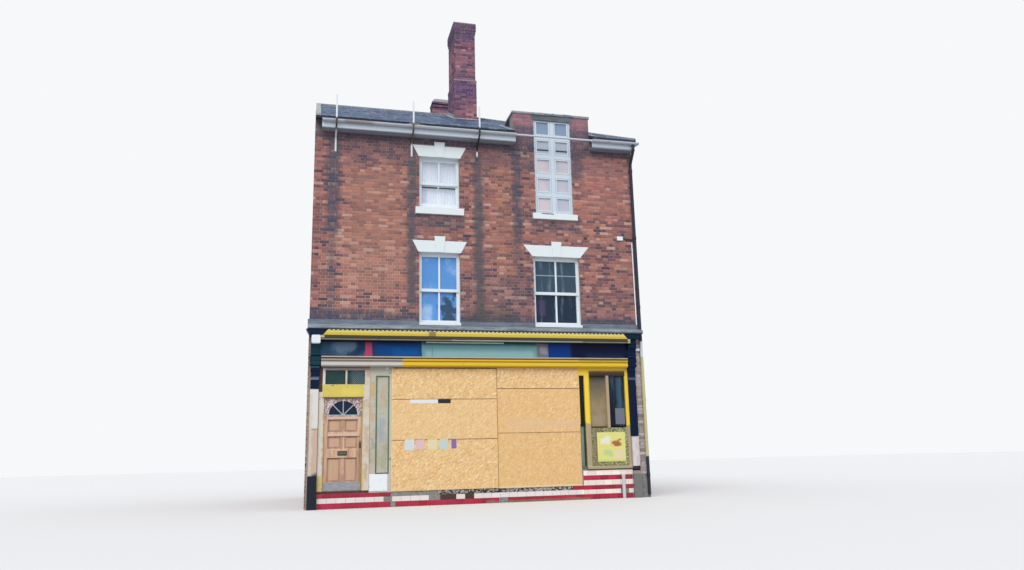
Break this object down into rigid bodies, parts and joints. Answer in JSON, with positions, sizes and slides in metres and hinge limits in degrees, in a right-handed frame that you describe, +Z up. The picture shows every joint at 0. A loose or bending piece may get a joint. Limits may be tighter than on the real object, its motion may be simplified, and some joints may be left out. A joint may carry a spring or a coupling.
{
  "type": "end of terrace corner shop building",
  "caption": "Three-storey brick corner shop: hollow shell with boarded timber shopfront, hinged door, sash windows, wall dormer, slate roof and chimneys.",
  "frame": {"origin": "centre of the plan at the lowest ground level, on the underside of the ground floor", "axes": "+X along the street to the right of the shopfront, +Y from the street to the yard, +Z up"},
  "size_m": [8.2303, 7.9176, 13.39],
  "materials": {
    "brick": "handmade red brick, Flemish bond, weathered lime mortar",
    "concrete": "rough concrete floor",
    "floor_timber": "sawn timber",
    "slate": "natural slate, weathered",
    "ridge_tile": "blue clay ridge tile",
    "mortar": "cement mortar kerb",
    "lead": "dull oxidised lead sheet",
    "white_paint": "white painted timber",
    "painted_stone": "white painted stone",
    "gutter_metal": "faded white painted iron",
    "window_glass": "window glass",
    "net": "net curtain",
    "navy_paint": "navy gloss paint on timber",
    "yellow_paint": "yellow gloss paint on timber",
    "bare_timber": "weathered bare timber rail",
    "fascia_paint": "faded painted fascia",
    "black_paint": "black gloss paint on timber",
    "cream_paint": "flaking cream paint on timber",
    "door_timber": "stripped hardwood door",
    "door_metal": "dull steel kick plate and letter plate",
    "weathered_timber": "weathered painted board",
    "shop_glass": "dark shop window glass",
    "chipboard": "oriented strand board",
    "panel_board": "brown faced board",
    "tile": "red and white glazed wall tiles",
    "pipe_metal": "painted cast iron downpipe",
    "plastic": "white plastic fittings"
  },
  "bodies": {
    "shop": {"ground_floor": "concrete", "first_floor": "floor_timber", "second_floor": "floor_timber", "party_wall": "brick", "gable_wall": "brick", "rear_wall": "brick", "front_wall": "brick", "corner_pier": "brick", "shop_beam": "floor_timber", "front_roof": "slate", "rear_roof": "slate", "ridge_tiles": "ridge_tile", "verge_kerb": "mortar", "dormer_cheeks": "lead", "dormer_flat": "lead", "main_chimney": "brick", "rear_chimney": "brick", "eaves_boxes": "white_paint", "gutters": "gutter_metal", "eaves_posts": "gutter_metal", "window_arches": "painted_stone", "window_sills": "painted_stone", "sash_windows": "white_paint", "tall_window": "white_paint", "window_glass": "window_glass", "net_curtain": "net", "lead_flashing": "lead", "cornice": "navy_paint", "awning_box": "yellow_paint", "awning_rail": "bare_timber", "fascia_board": "fascia_paint", "fascia_moulding": "yellow_paint", "pilasters": "black_paint", "consoles": "navy_paint", "door_frame": "cream_paint", "side_panel": "weathered_timber", "shop_window_frame": "yellow_paint", "shop_glass": "shop_glass", "boarding": "chipboard", "window_panels": "panel_board", "tiled_base": "tile", "downpipe": "pipe_metal", "wall_fittings": "plastic"},
    "door": {"door_leaf": "door_timber", "door_fanlight": "shop_glass", "door_fittings": "door_metal"}
  },
  "joints": [
    {"name": "door_hinge", "type": "hinge", "parent": "shop", "child": "door", "pos_m": [-3.6575, -3.55, 1.38], "axis": [0, 0, 1], "range_deg": [0, 90]}
  ]
}
